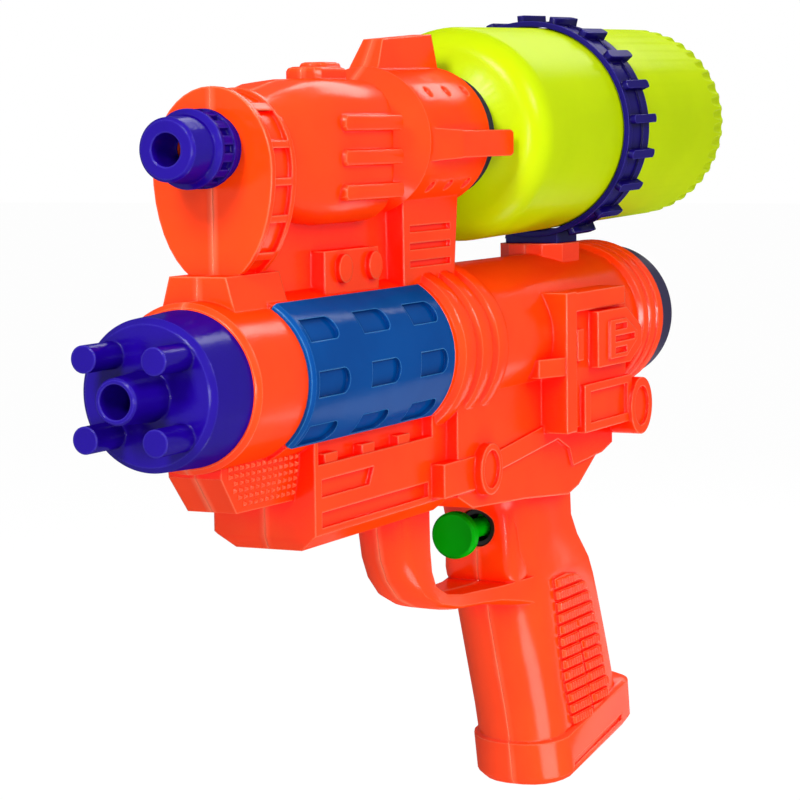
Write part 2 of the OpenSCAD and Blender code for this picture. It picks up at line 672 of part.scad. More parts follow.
// Recesses of the receiver and the fore-end
module relief_cuts() {
    sunk_panel(-178.6, -170.6, -0.4, 1.1, receiver_w + 1.6);
    sunk_panel(-184, -170.6, -3.4, -1.9, receiver_w + 1.6);
    sunk_panel(-178.6, -170.6, -6.3, -4.8, receiver_w + 1.6);
    sunk_panel(-183.7, -158.7, -22.4, -14.8, receiver_w - 0.3);
    sunk_outline(fore_w) polygon([[-34.4, -21.6], [-58.5, -21.6], [-56.3, -25.2], [-34.4, -25.2]]);
    sunk_panel(-85.6, -34.4, -31.6, -28.4, fore_w);
    for (i = [0:2]) {
        low = barrel_r + 1.2 + louvre_pitch * i;
        sunk_panel(-105, -bracket_back - 3.8, low, low + 1.4, pillar_w);
    }
    for (s = [0, 1]) mirror([0, s, 0]) {
        translate([-sleeve_end - 1, channel_w, channel_low])
            cube([sleeve_end + nose_rear + 1, fore_w - channel_w + 3, channel_h]);
        bar_y(rear_boss[0], rear_boss[1], 5, receiver_w - 0.2, receiver_w + 3);
        bar_y(front_boss[0], front_boss[1], 4.4, lower_w + 1.6, lower_w + 5);
    }
    dimples();
    for (s = [-1, 1])
        translate([0, s * (foot_w + 0.2), 0]) slab(0.8)
            polygon([[-168, -109.6], [-200, -104.3], [-200, -105.8], [-168, -111.1]]);
}

// Fore-end under the barrel, with its wedge-shaped nose
module fore_end() {
    intersection() {
        slab(fore_w) polygon([[-31.5, -5], [-31.5, -33.6], [-33.2, -36.4], [-97, -36.4], [-97, -5]]);
        along_x(-98, -30) polygon([[-fore_w, 0], [-fore_w, -33], [-7, -37], [7, -37], [fore_w, -33],
            [fore_w, 0]]);
    }
    loft([for (q = nose_rows)
        [[q[1], -q[2], q[0]], [nose_rear, -q[3], q[0]], [nose_rear, q[3], q[0]], [q[1], q[2], q[0]]]]);
}

// Small blocks in the channel above the fore-end
module channel_blocks() {
    pitch = sleeve_len * 0.258;
    length = sleeve_len * 0.084;
    front = nose_rear - 3.6;
    for (i = [0:2])
        block(front - length - pitch * i, front - pitch * i, fore_w - 0.3, channel_low - 0.6,
            channel_low + 2);
}

// Trigger guard
module guard() {
    widest = grip_w - 0.5;
    loft([for (q = guard_rows)
        guard_section(q[0], q[1], guard_bulge * q[2], min(guard_w * q[3], widest))]);
}

// Housing that the pump's front sits in, on the upper part of the grip
module pump_housing() {
    loft([for (q = housing_rows) housing_section(q[0], -pump_back + q[1], q[2])]);
}

// Grip, drawn in by inset
module grip(inset) {
    loft([for (q = grip_rows) grip_section(q[0], q[1] - inset, q[2] + inset, grip_w - inset, 0)]);
}

// Raised ridges on the sides of the grip, broken by a slanting channel
module grip_ridges() {
    pitch = 3.05;
    land = 2.2;
    intersection() {
        grip(-ridge_proud);
        difference() {
            slab(30) polygon([[-156.8, -61.6], [-164, -61.2], [-171.4, -62.4], [-177, -65.6],
                [-180.6, -69.6],
                              [-183.4, -75], [-187.4, -84.5], [-191.4, -93], [-192.6, -97], [-185.6, -100],
                              [-170.4, -103.4], [-167, -96.6], [-163.2, -88], [-160.7, -77.6],
                              [-158.4, -67]]);
            for (i = [0:14])
                translate([-210, -40, -61.8 - pitch * (i + 1)]) cube([70, 80, pitch - land]);
            slab(31) polygon([[-170.4, -76], [-171.8, -76], [-184.6, -104], [-183.2, -104]]);
            block(-210, -140, grip_w - 5, -110, -55);
        }
    }
}

// Foot at the grip's end, tilted with the hand
module foot() {
    loft([grip_section(foot_top_z + 1, foot_front - 0.8, foot_rear + 1.5, foot_w - 1, foot_slope),
          grip_section(foot_top_z, foot_front, foot_rear, foot_w, foot_slope),
          grip_section(foot_top_z - foot_h + 1.5, foot_front - 2, foot_rear - 1.5, foot_w, foot_slope),
          grip_section(foot_top_z - foot_h, foot_front - 3.4, foot_rear, foot_w - 1.2, foot_slope)]);
}

// Pad under the tank's ring
module ring_pad() {
    cut = 4;
    front = -ring_back + 3;
    rear = -ring_end - 1;
    translate([0, 0, 8]) linear_extrude(pad_top - 8)
        polygon([[front, -pad_w + cut], [front, pad_w - cut], [front - cut, pad_w], [rear + cut, pad_w],
                 [rear, pad_w - cut], [rear, -pad_w + cut], [rear + cut, -pad_w], [front - cut, -pad_w]]);
}

// Outside of the body
module body_form() {
    channel_blocks();
    difference() {
        union() {
            barrel_form();
            sleeve_strips();
            front_plate();
            drum();
            bracket();
            pillar();
            receiver_form();
            fore_end();
            guard();
            grip(0);
            pump_housing();
            grip_ridges();
            foot();
            ring_pad();
        }
        relief_cuts();
        sleeve_room();
    }
}

// Hollow inside of the body
module body_hollow() {
    bar_x(-barrel_len - 1, 1, barrel_in_r);
    translate([0, 0, upper_z]) turned() polygon([[0, -plate_end - 1], [7.4, -plate_end - 1],
        [7.4, -plate_end - 7],
        [11, -plate_end - 20], [11, -drum_end + 8], [8.6, -drum_end + 3], [8.6, -drum_end - 4],
        [bracket_r - 4, -bracket_back - 3], [bracket_r - 4, -socket_front - 1], [0, -socket_front - 1]]);
    tilted() bar_x(-bracket_end - 1, -socket_front, socket_r + seat_gap);
    translate([0, 0, nozzle_z]) bar_x(-plate_end - 2, -plate_back + 1, jet_r + seat_gap);
    block(-103, -bracket_back - 4, pillar_w - shell_t, 4, upper_z - 2);
    block(-96, -34.5, fore_w - shell_t, -31.6, channel_low - 2.2);
    block(-96, -36, 5.5, -34, -30);
    block(-96, -34.5, channel_w - 2.6, channel_low - 3, -4);
    slab(lower_w - shell_t) polygon([[-97, -4], [-97, -31], [-104, -34], [-132, -35.6], [-166, -36],
        [-178, -28.6], [-178, -4]]);
    block(-36, -12, 3.6, -23, -4);
    block(-183.6, -147, receiver_w - 1.8 - shell_t, -20.6, 3);
    intersection() {
        grip(shell_t);
        block(foot_rear - foot_h, -pump_back + grip_w, 2 * grip_w, foot_top_z + 2, -30);
    }
    translate([0, 0, trigger_z]) bar_x(-pump_back - 6, -pump_back + 6, pump_r + seat_gap);
    block(-ring_end + 3.4, -ring_back - 3.4, foot_tab_w + seat_gap, 0, pad_top + 1);
}

// Half of space on one side of the seam
module half_space(s) {
    translate([-300, s > 0 ? 0 : -60, -200]) cube([400, 60, 400]);
}

// Screw posts on one side of the seam
module screw_posts(s) {
    intersection() {
        body_form();
        union() {
            for (q = [screw_places[1], screw_places[2], screw_places[5]])
                bar_y(q[0], q[1], post_r, s > 0 ? 0 : -2 * receiver_w, s > 0 ? 2 * receiver_w : 0);
            if (s < 0) for (d = [6, 17])
                translate([-pump_back - d - 2, -grip_w, trigger_z - 5]) cube([2, grip_w, 10]);
        }
    }
}

// Holes for the screws: pilot holes on the left, seats for the heads on the right
module screw_holes(s) {
    for (q = screw_places) {
        if (s > 0) bar_y(q[0], q[1], screw_r - 0.05, -1, screw_len - screw_seat + 0.6);
        if (s < 0) bar_y(q[0], q[1], screw_r + 0.2, -screw_seat - 1, 1);
        if (s < 0) bar_y(q[0], q[1], screw_head_r + 0.3, -40, -screw_seat);
    }
}

// One half of the body: s is 1 for the left, -1 for the right
module body_half(s) {
    difference() {
        union() {
            difference() {
                intersection() {
                    body_form();
                    half_space(s);
                }
                body_hollow();
            }
            screw_posts(s);
        }
        translate([0, 0, trigger_z]) bar_x(-pump_end - 2, -pump_back + 6, pump_r + seat_gap);
        screw_holes(s);
    }
}

module left_shell() {
    color(orange) body_half(1);
}

module right_shell() {
    color(orange) body_half(-1);
}

// False muzzle: conical plug, hollow centre tube and four pegs
module muzzle_plug() {
    tip = plug_len + muzzle_tube_len;
    color(purple) difference() {
        union() {
            turned() polygon([[0, -plug_depth], [barrel_in_r - seat_gap, -plug_depth],
                [barrel_in_r - seat_gap, 0],
                [plug_r, 0], [plug_front_r + 0.5, plug_len - 1.2], [plug_front_r - 0.7, plug_len],
                [muzzle_tube_r + 0.6, plug_len], [muzzle_tube_r, tip - 0.4], [muzzle_tube_r - 0.4, tip],
                [0, tip]]);
            for (s = [-1, 1], t = [-1, 1])
                translate([0, s * peg_offset, t * peg_offset])
                    bar_x(plug_len - 2, plug_len + peg_len, peg_r);
        }
        bar_x(-plug_depth / 2, tip + 1, muzzle_bore_r);
    }
}

// D-shaped pocket in a sleeve panel: straight in front, round behind
module pocket() {
    r = pocket_w / 2;
    translate([-pocket_len / 2 + r, 0]) circle(r = r);
    translate([-pocket_len / 2 + r, -r]) square([pocket_len - r, pocket_w]);
}

// Blue panel on one side of the barrel
module sleeve_panel(s) {
    pitch_a = 36;
    drop_a = 2;
    forward = 0.7;
    pitch_x = (sleeve_len + 4) / 3;
    bevel = 0.6;
    mirror([0, s > 0 ? 0 : 1, 0]) difference() {
        intersection() {
            turned() polygon([[sleeve_seat_r + sleeve_play, -collar_len - sleeve_play],
                [barrel_r - bevel, -collar_len - sleeve_play],
                [barrel_r, -collar_len - sleeve_play - bevel * 1.5],
                [barrel_r, -sleeve_end + sleeve_play],
                [sleeve_seat_r + sleeve_play, -sleeve_end + sleeve_play]]);
            along_x(-sleeve_end - 1, 1)
                wedge((sleeve_high - sleeve_low) / 2, (sleeve_high + sleeve_low) / 2);
        }
        for (i = [-1:1], j = [-1:1])
            translate([-collar_len - sleeve_len / 2 + forward + pitch_x * i, 0, 0])
                rotate([pitch_a * j - drop_a, 0, 0])
                translate([0, barrel_r - pocket_depth, 0]) rotate([-90, 0, 0]) linear_extrude(6) pocket();
    }
}

module sleeve_left() {
    color("royalblue") sleeve_panel(1);
}

module sleeve_right() {
    color("royalblue") sleeve_panel(-1);
}

// Cap at the barrel's rear end
module rear_cap() {
    r = barrel_r - 0.2;
    color("indigo") turned() polygon([[0, -barrel_len + cap_depth],
        [barrel_in_r - seat_gap, -barrel_len + cap_depth],
        [barrel_in_r - seat_gap, -barrel_len], [r, -barrel_len], [r, -barrel_len - cap_len * 0.86],
        [r - 0.8, -barrel_len - cap_len * 0.95], [r - 2.2, -barrel_len - cap_len],
        [r - 5, -barrel_len - cap_len], [r - 6, -barrel_len - cap_len + 1.4],
        [0, -barrel_len - cap_len + 1.4]]);
}

// Nozzle with a ring of finger blocks
module nozzle() {
    base = -plate_back + 0.3;
    ring0 = base + 2.8;
    ring1 = base + 9.6;
    rim = 1.4;
    shoulder_r = knurl_r - 0.7;
    color(purple) translate([0, 0, nozzle_z]) {
        turned() polygon([[nozzle_bore_r, -4], [nozzle_bore_r, nozzle_tip], [nozzle_r - 0.6, nozzle_tip],
            [nozzle_r, nozzle_tip - 0.6], [(nozzle_r + shoulder_r) / 2, ring1 + 0.4], [shoulder_r, ring1],
            [knurl_r, ring1 - 0.5],
            [knurl_r, ring1 - rim], [knurl_r - 1, ring1 - rim], [knurl_r - 1, ring0 + rim],
            [knurl_r, ring0 + rim],
            [knurl_r, ring0], [knurl_r - 0.9, ring0 - 0.4], [knurl_r - 0.9, base],
            [jet_r + running_gap, base], [jet_r + running_gap, -4]]);
        for (i = [0:knurl_count - 1]) rotate([360 * i / knurl_count, 0, 0])
            translate([ring0 + rim / 2, -0.9, jet_r + 2])
                cube([ring1 - ring0 - rim, 1.8, knurl_r - jet_r - 2.2]);
    }
}

// Jet tube, from the delivery hose to the nozzle
module jet_tube() {
    flange = -plate_end - 1;
    color("firebrick") translate([0, 0, nozzle_z]) difference() {
        turned() polygon([[0, -4.4], [jet_r, -4.4], [jet_r, flange - seat_gap],
            [jet_flange_r, flange - seat_gap],
            [jet_flange_r, flange - 2], [jet_r, flange - 2.6], [jet_r, -jet_back], [spigot_r, -jet_back],
            [spigot_r, -jet_back - spigot_len - 1], [0, -jet_back - spigot_len - 1]]);
        bar_x(-jet_back - spigot_len - 2, -2, port_r);
    }
}

// Outline of the bottle, drawn in by inset: radius and place along X
function bottle(inset) =
    let (r = tank_r - inset, f = tank_fillet - inset, front = -tank_front - inset, end = -tank_end + inset,
         crown = 3)
    concat([[neck_r - (inset > 0 ? neck_wall : 0), -tank_front - inset * 0.6]],
           [for (k = [0:8]) let (a = 90 - 90 * k / 8) [r - f + f * cos(a), front - crown - f + f * sin(a)]],
           [for (k = [0:6]) let (a = -75 * k / 6) [r - f + f * cos(a), end + f + f * sin(a)]],
           [[r - f - 2, end + 0.4], [r - f - 4, end + 2.6], [0, end + 3.4]]);

// Tank: a blown bottle with a straight neck and a fluted base
module tank() {
    inside = bottle(tank_wall);
    flute_r = 1.6;
    flute_start = 0.2;
    flute_tilt = 7;
    flute_len = 13;
    color("yellowgreen") tilted() difference() {
        turned() polygon(concat([[neck_r - neck_wall, -neck_tip], [neck_r, -neck_tip]], bottle(0),
            [for (i = [len(inside) - 1:-1:0]) inside[i]]));
        for (i = [0:flute_count - 1]) rotate([360 * (i + 0.5) / flute_count, 0, 0])
            translate([-tank_end + flute_len, 0, tank_r + flute_r - flute_start])
                rotate([0, -flute_tilt, 0]) bar_x(-flute_len - 2, 0, flute_r);
    }
}

// Socket in the bracket that takes the tank's neck
module tank_socket() {
    front = -socket_front;
    rear = -bracket_end - socket_flange_len;
    color("darkslateblue") tilted() difference() {
        union() {
            turned() polygon([[0, front - seat_gap], [socket_r, front - seat_gap],
                [socket_r, -bracket_end - seat_gap],
                [socket_flange_r, -bracket_end - seat_gap], [socket_flange_r, rear + 0.8],
                [socket_flange_r - 0.8, rear],
                [socket_bore_r, rear], [socket_bore_r, front - socket_wall], [0, front - socket_wall]]);
            bar_x(front - socket_wall - spigot_len, front + spigot_len + 2, spigot_r);
        }
        bar_x(front - socket_wall - spigot_len - 1, front + spigot_len + 3, port_r);
    }
}

// Washer on the tank's neck
module tank_seal() {
    color("dimgray") tilted() difference() {
        bar_x(-seal_front - seal_t, -seal_front, neck_r);
        bar_x(-seal_front - seal_t - 1, -seal_front + 1, neck_r - neck_wall - 2);
    }
}

// Hoop round the tank, with cross ribs and a foot on the pad
module tank_ring() {
    rim = 2.2;
    bead = -ring_back - ring_w * 0.66;
    bead_w = 0.9;
    rib_r = 1.1;
    rib_half = ring_w / 2 - rib_r;
    mid = -ring_back - ring_w / 2 - 0.6;
    color(purple) {
        difference() {
            union() {
                tilted() {
                    turned() polygon([[ring_in_r, -ring_back], [ring_r, -ring_back],
                        [ring_r, -ring_back - rim],
                        [ring_r - 0.5, -ring_back - rim], [ring_r - 0.5, bead], [ring_r, bead],
                        [ring_r, bead - bead_w], [ring_r - 0.4, bead - bead_w], [ring_r - 0.4, -ring_end],
                        [ring_in_r, -ring_end]]);
                    for (i = [0:ring_rib_count - 1]) rotate([360 * (i + 0.25) / ring_rib_count, 0, 0])
                        translate([mid, 0, ring_in_r + 0.4]) linear_extrude(ring_top_r - ring_in_r - 0.4)
                            polygon([for (s = [-1, 1], a = [-75:30:75])
                                [s * (rib_half + rib_r * cos(a)), s * rib_r * sin(a)]]);
                }
                block(-ring_end + 1, -ring_back - 1, 7, pad_top, pad_top + ring_rib_h + 2.2);
                block(-ring_end + 3.5, -ring_back - 3.5, foot_tab_w, pad_top - foot_tab_depth, pad_top + 1);
            }
            tilted() bar_x(-ring_end - 1, -ring_back + 1, ring_in_r);
        }
    }
}

module pickup_tube() {
    color("whitesmoke") tilted() tube(pickup_route, hose_r, hose_bore_r);
}

module suction_hose() {
    color("whitesmoke") tube(suction_route, hose_r, hose_bore_r);
}

module delivery_hose() {
    color("whitesmoke") tube(delivery_route, hose_r, hose_bore_r);
}

// Push-button trigger with its stem and piston
module trigger() {
    groove0 = -piston_back - 1;
    groove1 = -piston_back - piston_len + 1;
    end = -piston_back - piston_len;
    back = -trigger_back - button_t;
    dish = 0.8;
    color("limegreen") translate([0, 0, trigger_z]) turned() polygon([[0, -trigger_back - dish],
        [button_r * 0.5, -trigger_back - dish * 0.72], [button_r - 0.6, -trigger_back],
        [button_r, -trigger_back - 0.5], [button_r, back + 0.6],
        [button_r - 0.6, back], [stem_r + 0.8, back], [stem_r, back - 1], [stem_r, -piston_back],
        [piston_r, -piston_back], [piston_r, groove0], [piston_r - 1, groove0], [piston_r - 1, groove1],
        [piston_r, groove1], [piston_r, end], [0, end]]);
}

// Seal in the piston's groove
module piston_seal() {
    color("black") translate([0, 0, trigger_z]) turned() polygon([[piston_r - 1, -piston_back - 1],
        [pump_bore_r - running_gap, -piston_back - 1.2],
        [pump_bore_r - running_gap, -piston_back - piston_len + 1.2],
        [piston_r - 1, -piston_back - piston_len + 1]]);
}

// Return spring between the piston and the cylinder's end, one unbroken wire
module trigger_spring() {
    front = -piston_back - piston_len - wire_r - 0.1;
    rear = -pump_end + 1.5 + wire_r + 0.1;
    steps = 8 * spring_turns;
    sides = 6;
    p = [for (i = [0:steps]) let (a = 360 * i / 8)
        [front + (rear - front) * i / steps, spring_r * cos(a), spring_r * sin(a)]];
    pitch = (front - rear) / spring_turns;
    echo(spring_gap = pitch - 2 * wire_r);
    color("silver") translate([0, 0, trigger_z]) loft([for (i = [0:steps])
        let (t = heading(p, i), u = unit([0, p[i][1], p[i][2]]), v = cross(t, u))
        [for (k = [0:sides - 1]) p[i] + wire_r * (cos(360 * k / sides) * u + sin(360 * k / sides) * v)]]);
}

// Pump cylinder, its front rim shows behind the trigger
module pump_cylinder() {
    color("black") translate([0, 0, trigger_z]) difference() {
        bar_x(-pump_end, -pump_back, pump_r);
        bar_x(-pump_end - 1, -pump_back + 1, pump_bore_r);
    }
}

// Valve body that closes the cylinder: inlet below, outlet above
module valve_body() {
    color("gainsboro") difference() {
        union() {
            translate([0, 0, trigger_z]) bar_x(-pump_end - 2, -pump_end - seat_gap / 2, pump_r);
            translate([0, 0, trigger_z]) bar_x(-pump_end - 1, -pump_end + 1.5, pump_bore_r - running_gap);
            translate([0, 0, trigger_z]) bar_x(-valve_back, -pump_end - 1, 2.6);
            translate([-valve_back, 0, valve_low_z]) cylinder(h = valve_high_z - valve_low_z, r = valve_r);
            translate([-valve_back, 0, valve_low_z - spigot_len])
                cylinder(h = valve_high_z - valve_low_z + 2 * spigot_len, r = spigot_r);
        }
        translate([-valve_back, 0, valve_low_z - spigot_len - 1])
            cylinder(h = valve_high_z - valve_low_z + 2 * spigot_len + 2, r = port_r);
        for (z = [inlet_seat_z, outlet_seat_z]) {
            translate([-valve_back, 0, z])
                cylinder(h = seat_rise + ball_r + ball_lift + 0.4, r = valve_bore_r);
            translate([-valve_back, 0, z - 0.6]) cylinder(h = 1, r = valve_seat_r);
        }
        translate([0, 0, trigger_z]) bar_x(-valve_back, -pump_end + 2, port_r + 0.2);
    }
}

// Ball of a check valve on its seat
module valve_ball(z) {
    color("silver") translate([-valve_back, 0, z + seat_rise]) sphere(r = ball_r);
}

module inlet_ball() {
    valve_ball(inlet_seat_z);
}

module outlet_ball() {
    valve_ball(outlet_seat_z);
}

// Self-tapping screws that hold the halves together
module housing_screws() {
    head_t = 1.7;
    color("silver") for (q = screw_places) difference() {
        union() {
            bar_y(q[0], q[1], screw_head_r, -screw_seat - head_t, -screw_seat);
            bar_y(q[0], q[1], screw_r - 0.1, -screw_seat - 0.5, screw_len - screw_seat);
        }
        translate([q[0], -screw_seat - head_t, q[1]]) for (a = [0, 90])
            rotate([0, a, 0]) cube([3, 1.6, 0.6], center = true);
    }
}

left_shell();
right_shell();
muzzle_plug();
sleeve_left();
sleeve_right();
rear_cap();
nozzle();
jet_tube();
tank();
tank_socket();
tank_seal();
tank_ring();
pickup_tube();
trigger();
piston_seal();
trigger_spring();
pump_cylinder();
valve_body();
inlet_ball();
outlet_ball();
suction_hose();
delivery_hose();
housing_screws();
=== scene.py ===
"""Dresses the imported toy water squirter: moulded plastics, surface detail, studio and camera."""

import logging
import math
from dataclasses import dataclass, field, replace
from enum import Enum
from typing import Sequence

import bpy
from mathutils import Matrix, Vector


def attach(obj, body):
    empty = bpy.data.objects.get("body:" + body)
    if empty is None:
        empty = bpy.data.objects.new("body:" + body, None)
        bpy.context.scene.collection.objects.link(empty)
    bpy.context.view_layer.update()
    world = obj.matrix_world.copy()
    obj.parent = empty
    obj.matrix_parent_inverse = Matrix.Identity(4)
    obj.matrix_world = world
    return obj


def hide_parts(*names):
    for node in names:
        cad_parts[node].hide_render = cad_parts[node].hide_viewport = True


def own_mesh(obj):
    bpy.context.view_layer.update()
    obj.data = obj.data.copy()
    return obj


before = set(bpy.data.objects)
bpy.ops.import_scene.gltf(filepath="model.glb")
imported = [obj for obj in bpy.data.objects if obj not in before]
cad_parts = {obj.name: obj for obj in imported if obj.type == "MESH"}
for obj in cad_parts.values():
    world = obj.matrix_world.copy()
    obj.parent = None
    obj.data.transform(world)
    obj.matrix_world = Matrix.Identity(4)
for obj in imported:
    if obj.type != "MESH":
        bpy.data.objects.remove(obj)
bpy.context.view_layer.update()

log = logging.getLogger("squirter")

Colour = tuple[float, float, float]
Triple = tuple[float, float, float]
Point = tuple[float, float]

MM = 0.001
PURE_WHITE: Colour = (1.0, 1.0, 1.0)

# Noise, with scales in cycles per metre and spans as the ends of a smooth step
NOISE_MIDDLE = 0.5
FLOW_SCALE = 45.0
FLOW_DETAIL = 3.0
FLOW_SPAN = (0.35, 0.7)
WAVE_SCALE = 180.0
GRAIN_SCALE = 1900.0
PATCH_SCALE = 60.0
PATCH_DETAIL = 1.0
PATCH_SPAN = (0.3, 0.75)
STREAK_SCALE = 900.0
STREAK_DETAIL = 3.0

# Sockets of the colour Mix node
MIX_FACTOR = 0
MIX_FIRST = 6
MIX_SECOND = 7
MIX_RESULT = 2

# Gloss, rounded edges, painted edge highlights and painted shade of the plastics
SHINE_IOR = 3.0
EDGE_SAMPLES = 6
SKY_SAMPLES = 4
EDGE_HIGHLIGHT_REACH_MM = 1.6
EDGE_HIGHLIGHT_TURN_SPAN = (0.015, 0.14)
EDGE_HIGHLIGHT_SKY_SPAN = (0.78, 0.95)
PAINTED_SHADE_SPAN = 0.45

# Meshes: welding, flat faces, smooth tubes and the test for a top face
MERGE_MM = 0.002
FLAT_DEG = 0.4
TUBE_SMOOTH_DEG = 60.0
FACING_UP = 0.9


class Body(Enum):
    """The rigid bodies that pieces ride on."""

    HOUSING = "body"
    TRIGGER = "trigger"
    NOZZLE = "nozzle"
    TANK = "tank"
    TANK_SEAL = "tank_seal"
    INLET_BALL = "inlet_ball"
    OUTLET_BALL = "outlet_ball"


class Side(Enum):
    """The two sides of the seam, with the sign of y there."""

    LEFT = 1
    RIGHT = -1


class Signal:
    """A shader socket that takes part in arithmetic; each operation adds a Math node."""

    def __init__(self, graph: "Graph", socket: bpy.types.NodeSocket) -> None:
        """Wraps one output socket of a graph."""
        self.graph = graph
        self.socket = socket

    def _math(self, operation: str, *values: "Signal | float") -> "Signal":
        """Adds one Math node.

        Args:
            operation: Blender's name of the operation.
            values: its inputs in order.

        Returns:
            The node's result.
        """
        return self.graph.node("ShaderNodeMath", {"operation": operation}, dict(enumerate(values)))

    def __add__(self, other: "Signal | float") -> "Signal":
        """Sum."""
        return self._math("ADD", self, other)

    __radd__ = __add__

    def __mul__(self, other: "Signal | float") -> "Signal":
        """Product."""
        return self._math("MULTIPLY", self, other)

    __rmul__ = __mul__

    def __sub__(self, other: "Signal | float") -> "Signal":
        """Difference."""
        return self._math("SUBTRACT", self, other)

    def __rsub__(self, other: "Signal | float") -> "Signal":
        """Difference with the signal on the right."""
        return self._math("SUBTRACT", other, self)

    def __abs__(self) -> "Signal":
        """Absolute value."""
        return self._math("ABSOLUTE", self)

    def dot(self, other: "Signal") -> "Signal":
        """Scalar product of two vectors."""
        return self.graph.node("ShaderNodeVectorMath", {"operation": "DOT_PRODUCT"},
                               {0: self, 1: other}, output="Value")

    def at_least(self, other: "Signal | float") -> "Signal":
        """The larger of two values."""
        return self._math("MAXIMUM", self, other)

    def ramp(self, low: float, high: float) -> "Signal":
        """Smooth step from 0 at low to 1 at high.

        Args:
            low: value where the step starts.
            high: value where it ends, which may be below low.

        Returns:
            The step as a signal from 0 to 1.
        """
        rising = low < high
        settings = {"interpolation_type": "SMOOTHSTEP", "clamp": True}
        inputs = {"Value": self, "From Min": min(low, high), "From Max": max(low, high),
                  "To Min": 0.0 if rising else 1.0, "To Max": 1.0 if rising else 0.0}
        return self.graph.node("ShaderNodeMapRange", settings, inputs)


Parts = tuple[Signal, Signal, Signal, Signal]


class Graph:
    """The node tree of one material or world."""

    def __init__(self, tree: bpy.types.NodeTree) -> None:
        """Starts from an empty tree."""
        self.tree = tree
        tree.nodes.clear()

    def node(self, kind: str, settings: dict | None = None, inputs: dict | None = None,
             output: int | str = 0) -> Signal:
        """Adds a node of any type.

        Args:
            kind: the node's type name.
            settings: attributes that are set first.
            inputs: values or signals by socket name or number; None leaves a socket alone.
            output: the socket that is handed back.

        Returns:
            The chosen output as a signal.
        """
        made = self.tree.nodes.new(kind)
        for name, value in (settings or {}).items():
            setattr(made, name, value)
        for name, value in (inputs or {}).items():
            if isinstance(value, Signal):
                self.tree.links.new(value.socket, made.inputs[name])
            elif value is not None:
                made.inputs[name].default_value = value
        return Signal(self, made.outputs[output])

    def place(self) -> Parts:
        """Object coordinates.

        Returns:
            The vector and its three parts, in metres.
        """
        vector = self.node("ShaderNodeTexCoord", output="Object")
        split = self.node("ShaderNodeSeparateXYZ", inputs={0: vector})
        node = split.socket.node
        return (vector, *(Signal(self, node.outputs[i]) for i in range(3)))

    def face(self) -> Signal:
        """Normal of the surface itself."""
        return self.node("ShaderNodeNewGeometry", output="Normal")

    def sky(self, reach_mm: float, aim: Signal | None = None) -> Signal:
        """How open a place is to what lies round it.

        Args:
            reach_mm: how far it looks, in millimetres.
            aim: the direction that it looks in, along the surface's normal if there is none.

        Returns:
            1 in the open, less in corners and hollows.
        """
        return self.node("ShaderNodeAmbientOcclusion", {"samples": SKY_SAMPLES, "only_local": True},
                         {"Distance": reach_mm * MM, "Normal": aim}, output="AO")

    def noise(self, vector: Signal, scale: float, detail: float = 2.0) -> Signal:
        """Noise between 0 and 1.

        Args:
            vector: where it is read, in metres.
            scale: cycles per metre.
            detail: how many finer layers are added.

        Returns:
            The noise.
        """
        return self.node("ShaderNodeTexNoise", inputs={"Vector": vector, "Scale": scale, "Detail": detail})

    def blend(self, factor: Signal | float, first: object, second: object) -> Signal:
        """Mixes two colours.

        Args:
            factor: share of the second colour.
            first: colour or signal.
            second: colour or signal.

        Returns:
            The mixed colour.
        """
        return self.node("ShaderNodeMix", {"data_type": "RGBA"},
                         {MIX_FACTOR: factor, MIX_FIRST: first, MIX_SECOND: second},
                         output=MIX_RESULT)

    def out(self, surface: Signal, kind: str = "ShaderNodeOutputMaterial") -> None:
        """Sends a shader to the tree's output.

        Args:
            surface: the shader.
            kind: type of the output node.
        """
        end = self.tree.nodes.new(kind)
        self.tree.links.new(surface.socket, end.inputs["Surface"])


def blank(name: str) -> tuple[bpy.types.Material, Graph]:
    """Makes a material with no nodes.

    Args:
        name: the material's name.

    Returns:
        The material and its empty graph.
    """
    made = bpy.data.materials.new(name)
    made.use_nodes = True
    return made, Graph(made.node_tree)


def rgba(colour: Colour) -> tuple[float, float, float, float]:
    """A colour with full alpha."""
    return (*colour, 1.0)


def shade(colour: Colour, factor: float) -> Colour:
    """A colour made darker or lighter by a factor."""
    return tuple(min(1.0, c * factor) for c in colour)


